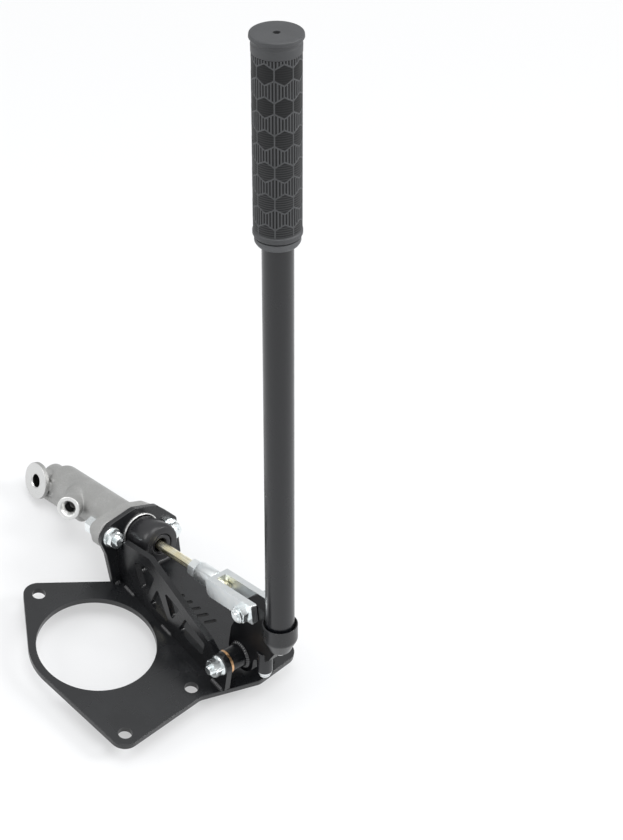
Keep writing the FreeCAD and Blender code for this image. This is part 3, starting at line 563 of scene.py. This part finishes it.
def grip_rings():
    """closed list of rings: (distance up the lever, radius), with None for a patterned ring"""
    outer = [
        (ZONE_END, BAND_R - 0.9, 0),
        (ZONE_END + 0.5, BAND_R, 0.35),
        (CAP_TOP - 7.0, BAND_R + 0.1, 2.0),
        (CAP_TOP - 5.6, BAND_R - 0.35, 1.2),
        (CAP_TOP - 4.0, BAND_R + 0.1, 0.8),
        (CAP_TOP - 3.3, 17.6, 0.5),
        (CAP_TOP - 2.6, 18.05, 0.6),
        (CAP_TOP, 17.75, 0.9),
        (CAP_TOP, 2.5, 0.3),
        (TUBE_TOP + 0.3, 2.5, 0),
        (TUBE_TOP + 0.3, TUBE_R, 0),
        (GRIP_START, TUBE_R, 0),
        (GRIP_START, 16.2, 0.8),
        (GRIP_START + 1.5, BAND_R + 0.2, 0.8),
        (ZONE_START - 1.6, BAND_R + 0.2, 0.6),
        (ZONE_START - 0.7, BAND_R - 0.9, 0),
    ]
    rings = [(p[0], p[1]) for p in rounded(outer)]
    steps = int((ZONE_END - ZONE_START) / ZONE_STEP)
    for i in range(steps + 1):
        rings.append((ZONE_START + (ZONE_END - ZONE_START) * i / steps, None))
    return rings


def build_grip():
    rings = grip_rings()
    points = []
    relief = []
    for s, radius in rings:
        for j in range(GRIP_COLUMNS):
            turn = 2 * math.pi * j / GRIP_COLUMNS
            r = radius
            share = PLAIN_RELIEF
            if r is None:
                raised = honeycomb(turn, s)
                r = CELL_R + raised
                share = raised / OUTLINE_H
            relief.append(share)
            out = L_SIDE * math.cos(turn) + L_OTHER * math.sin(turn)
            points.append(LEVER0 + LV * s * MM + out * r * MM)
    faces = ring_faces(len(rings), GRIP_COLUMNS)
    obj = mesh_object("grip_honeycomb", points, faces, looks["grip_pattern"])
    # the relief value drives the pattern material's painted shade in the grooves
    value = obj.data.attributes.new("relief", "FLOAT", "POINT")
    value.data.foreach_set("value", relief)
    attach(obj, "lever")
    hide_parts("grip")


build_grip()


# Rubber boot, its face pulled a little to one side by the rod and closed tightly round it

BOOT_COLUMNS = 144

# Its rings: distance down the cylinder's line, radius, how far the ring is pulled aside
BOOT_PROFILE = [
    (3.0, 15.2, 0.0), (-1.4, 15.2, 0.1), (-3.4, 15.7, 0.2), (-12.0, 16.3, 1.0),
    (-20.5, 16.7, 2.1), (-23.3, 16.2, 2.3), (-25.2, 15.2, 2.5), (-25.6, 14.7, 2.5),
    (-26.0, 14.4, 2.5), (-26.2, 14.0, 2.5), (-26.1, 13.6, 2.5), (-26.6, 11.2, 2.4),
    (-26.8, 9.2, 2.2), (-26.6, 8.8, 2.1), (-25.7, 8.6, 2.0), (-25.6, 8.3, 2.0),
    (-26.5, 8.1, 2.0), (-26.8, 7.8, 2.0), (-26.9, 6.2, 0.6), (-26.6, 5.75, 0.0),
    (-24.0, 5.7, 0.0), (-23.4, 6.2, 0.0), (-23.0, 12.0, 2.0), (-19.0, 14.4, 2.0),
    (3.0, 12.9, 0.0),
]


def build_boot():
    points = []
    for s, radius, pulled in BOOT_PROFILE:
        centre = C0 + AX * s * MM - Y * pulled * MM
        points += ring_points(centre, Y, UP, radius, BOOT_COLUMNS)
    faces = ring_faces(len(BOOT_PROFILE), BOOT_COLUMNS)
    obj = mesh_object("boot_cup", points, faces, looks["boot_rubber"])
    subdivide = obj.modifiers.new("subdivide", "SUBSURF")
    subdivide.levels = 2
    subdivide.render_levels = 2
    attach(obj, "bracket")
    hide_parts("dust_boot")


build_boot()


# Stop stud, turned, with a bare chamfered end

STUD_COLUMNS = 64

# Its rings: distance down from its top, radius
STUD_PROFILE = [
    (0.0, 0.4), (0.0, 5.7), (0.2, 6.05), (0.6, 6.2), (18.2, 6.2), (18.7, 6.2), (19.0, 6.1),
    (21.9, 4.95), (22.1, 4.7), (22.4, 4.45), (23.2, 4.4), (23.7, 4.2), (23.9, 3.9),
    (STUD_LENGTH, 3.4), (STUD_LENGTH, 0.4),
]


def build_stud():
    points = []
    for s, radius in STUD_PROFILE:
        points += ring_points(STUD_TOP - LV * s * MM, L_SIDE, L_OTHER, radius, STUD_COLUMNS)
    faces = ring_faces(len(STUD_PROFILE), STUD_COLUMNS)
    obj = mesh_object("stud_turned", points, faces, looks["stud_coat"])
    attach(obj, "lever")
    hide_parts("stop_stud")


build_stud()


# Weld beads with the ripples a torch leaves

BEAD_ARC = 7
BEAD_STEP = 0.24
RIPPLE_PITCH = 1.7
RING_PITCH = 1.9
RING_STEPS = 8
PIVOT_TUBE_R = 9.5
ARM_HALF = 4.0


def bead_mesh(name, beads, body, node_name):
    """beads: each a path of (corner, side a, side b, leg), and whether it closes on itself"""
    points = []
    faces = []
    for path, closed in beads:
        base = len(points)
        for corner, side_a, side_b, leg in path:
            points.append(corner)
            for k in range(BEAD_ARC):
                t = math.pi / 2 * k / (BEAD_ARC - 1)
                bulge = 1.0 / (math.cos(t) + math.sin(t)) * (1 + 0.16 * math.sin(2 * t))
                out = side_a * math.cos(t) + side_b * math.sin(t)
                points.append(corner + out * leg * bulge)
        width = BEAD_ARC + 1
        rows = len(path)
        last = rows if closed else rows - 1
        for i in range(last):
            a = base + i * width
            b = base + ((i + 1) % rows) * width
            for k in range(width):
                n = (k + 1) % width
                faces.append((a + k, b + k, b + n, a + n))
        if not closed:
            faces.append(tuple(base + k for k in range(width)))
            faces.append(tuple(base + (rows - 1) * width + k for k in reversed(range(width))))
    obj = mesh_object(name, points, faces, looks["weld_black"])
    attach(obj, body)
    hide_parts(node_name)


def scale_wave(phase):
    """height of one scale of a bead, from 0 at its ends to 1 in its middle"""
    return math.sin(math.pi * phase) ** 0.7


def straight_bead(start, end, side_a, side_b, leg):
    """bead along a corner: scales one behind the other, with rounded ends"""
    start = Vector(start)
    end = Vector(end)
    length = (end - start).length
    steps = int(length / BEAD_STEP)
    path = []
    for i in range(steps + 1):
        d = length * i / steps
        fade = 0.45 + 0.55 * soft_step(0.0, 1.8, min(d, length - d))
        size = leg * (0.86 + 0.2 * scale_wave((d / RIPPLE_PITCH) % 1.0)) * fade
        path.append((start.lerp(end, i / steps) * MM, side_a, side_b, size * MM))
    return path, False


def ring_bead(centre, axis, side, radius, leg):
    """bead round a tube: one leg outward on the plate, one leg along the tube"""
    other = axis.cross(side)
    scales = round(2 * math.pi * radius / RING_PITCH)
    steps = scales * RING_STEPS
    path = []
    for i in range(steps):
        turn = 2 * math.pi * i / steps
        out = side * math.cos(turn) + other * math.sin(turn)
        size = leg * (0.88 + 0.2 * scale_wave((i / RING_STEPS) % 1.0))
        path.append(((centre + out * radius) * MM, out, axis, size * MM))
    return path, True


def plate_bead(start, end, side, leg):
    """bead on the base plate between two (x, y) places, spreading to one side"""
    return straight_bead(start + (PLATE_TOP,), end + (PLATE_TOP,), side, Z, leg)


bracket_beads = [
    plate_bead((FOOT_X, -66.0), (FOOT_X, -110.0), -X, 2.8),
    plate_bead((FOOT_X, -48.5), (FOOT_X, -54.3), -X, 2.8),
    plate_bead((24.0, TRUSS_OUT_Y), (38.0, TRUSS_OUT_Y), Y, 2.4),
    plate_bead((-26.0, TRUSS_OUT_Y), (-12.0, TRUSS_OUT_Y), Y, 2.4),
    plate_bead((-93.0, TRUSS_OUT_Y), (-78.0, TRUSS_OUT_Y), Y, 3.1),
    plate_bead((-92.0, FAR_OUT_Y), (-62.0, FAR_OUT_Y), -Y, 3.1),
]
bead_mesh("bracket_beads", bracket_beads, "bracket", "bracket_welds")
pivot_beads = [
    ring_bead(PIVOT + Y * ARM_HALF, Y, X, PIVOT_TUBE_R, 2.4),
    ring_bead(PIVOT - Y * ARM_HALF, -Y, X, PIVOT_TUBE_R, 2.0),
]
bead_mesh("pivot_beads", pivot_beads, "lever", "pivot_tube_welds")


# Floor, background and light

FLOOR_GAP = 0.0002
FLOOR_HALF = 6.0
NEAR_FLOOR = 0.45
FAR_FLOOR = 1.6
NEAR_SHARE = 0.45


def plain_floor(level):
    """matt floor that keeps the shadow; seen directly or mirrored it turns white farther out"""
    m = bpy.data.materials.new("studio_floor")
    m.use_nodes = True
    tree = m.node_tree
    tree.nodes.clear()
    out = tree.nodes.new("ShaderNodeOutputMaterial")
    matt = tree.nodes.new("ShaderNodeBsdfDiffuse")
    matt.inputs["Color"].default_value = (0.75, 0.757, 0.768, 1)
    glow = tree.nodes.new("ShaderNodeEmission")
    glow.inputs["Strength"].default_value = 1.0
    rays = tree.nodes.new("ShaderNodeLightPath").outputs
    seen = math_node(tree, "MAXIMUM", rays["Is Camera Ray"], rays["Is Glossy Ray"])
    seen = math_node(tree, "MAXIMUM", seen, rays["Is Transmission Ray"])
    far = node(tree, "ShaderNodeVectorMath", operation="LENGTH")
    tree.links.new(object_position(tree), far.inputs[0])
    white = ranged(tree, far.outputs["Value"], NEAR_SHARE, 1.0, NEAR_FLOOR, FAR_FLOOR)
    mix = tree.nodes.new("ShaderNodeMixShader")
    tree.links.new(math_node(tree, "MULTIPLY", seen, white), mix.inputs[0])
    tree.links.new(matt.outputs[0], mix.inputs[1])
    tree.links.new(glow.outputs[0], mix.inputs[2])
    tree.links.new(mix.outputs[0], out.inputs[0])
    corners = [
        (-FLOOR_HALF, -FLOOR_HALF, level),
        (FLOOR_HALF, -FLOOR_HALF, level),
        (FLOOR_HALF, FLOOR_HALF, level),
        (-FLOOR_HALF, FLOOR_HALF, level),
    ]
    obj = mesh_object("floor", corners, [(0, 1, 2, 3)], m, False)


def soft_sky():
    """light that is dimmer near the horizon, with plain white where the camera sees it"""
    world = bpy.data.worlds.new("studio")
    bpy.context.scene.world = world
    world.use_nodes = True
    tree = world.node_tree
    tree.nodes.clear()
    out = tree.nodes.new("ShaderNodeOutputWorld")
    sky = tree.nodes.new("ShaderNodeBackground")
    sky.inputs["Color"].default_value = (0.98, 0.99, 1.0, 1)
    aim = tree.nodes.new("ShaderNodeTexCoord")
    split = tree.nodes.new("ShaderNodeSeparateXYZ")
    tree.links.new(aim.outputs["Generated"], split.inputs[0])
    strength = ranged(tree, split.outputs["Z"], 0.42, 0.92, 0.0, 0.85)
    tree.links.new(strength, sky.inputs["Strength"])
    white = tree.nodes.new("ShaderNodeBackground")
    white.inputs["Color"].default_value = (1, 1, 1, 1)
    white.inputs["Strength"].default_value = 1.0
    rays = tree.nodes.new("ShaderNodeLightPath").outputs
    mix = tree.nodes.new("ShaderNodeMixShader")
    tree.links.new(rays["Is Camera Ray"], mix.inputs[0])
    tree.links.new(sky.outputs[0], mix.inputs[1])
    tree.links.new(white.outputs[0], mix.inputs[2])
    tree.links.new(mix.outputs[0], out.inputs[0])


def lamp(name, place, aim, size, watts):
    data = bpy.data.lights.new(name, "AREA")
    data.shape = "DISK"
    data.size = size
    data.energy = watts
    obj = bpy.data.objects.new(name, data)
    obj.location = place
    obj.rotation_euler = (Vector(aim) - Vector(place)).to_track_quat("-Z", "Y").to_euler()
    bpy.context.scene.collection.objects.link(obj)


plain_floor(cad_box[0][2] - FLOOR_GAP)
soft_sky()
lamp("top_softbox", (-0.1, 0.0, 1.9), (0.0, -0.05, 0.1), 1.3, 13.0)
lamp("left_softbox", (0.7, 1.3, 1.0), (0.0, -0.05, 0.2), 0.8, 7.0)
lamp("right_key", (-1.1, -1.3, 1.4), (-0.05, -0.08, 0.2), 0.8, 20.0)


# Camera at the photograph's place

CAMERA_PLACE = Vector((-879.3, 703.8, 1311.8)) * MM
CAMERA_FORWARD = Vector((0.51304, -0.52578, -0.67849))
CAMERA_UP = Vector((0.58529, -0.36393, 0.72458))
CAMERA_LENS = 92.97
SENSOR = 36.0


def photo_camera():
    data = bpy.data.cameras.new("camera")
    data.sensor_width = SENSOR
    data.lens = CAMERA_LENS
    data.clip_start = 0.05
    data.clip_end = 50.0
    obj = bpy.data.objects.new("camera", data)
    forward = CAMERA_FORWARD.normalized()
    right = forward.cross(CAMERA_UP).normalized()
    up = right.cross(forward)
    obj.matrix_world = Matrix((
        (right.x, up.x, -forward.x, CAMERA_PLACE.x),
        (right.y, up.y, -forward.y, CAMERA_PLACE.y),
        (right.z, up.z, -forward.z, CAMERA_PLACE.z),
        (0, 0, 0, 1),
    ))
    bpy.context.scene.collection.objects.link(obj)
    bpy.context.scene.camera = obj


photo_camera()
bpy.context.scene.view_settings.view_transform = "Standard"
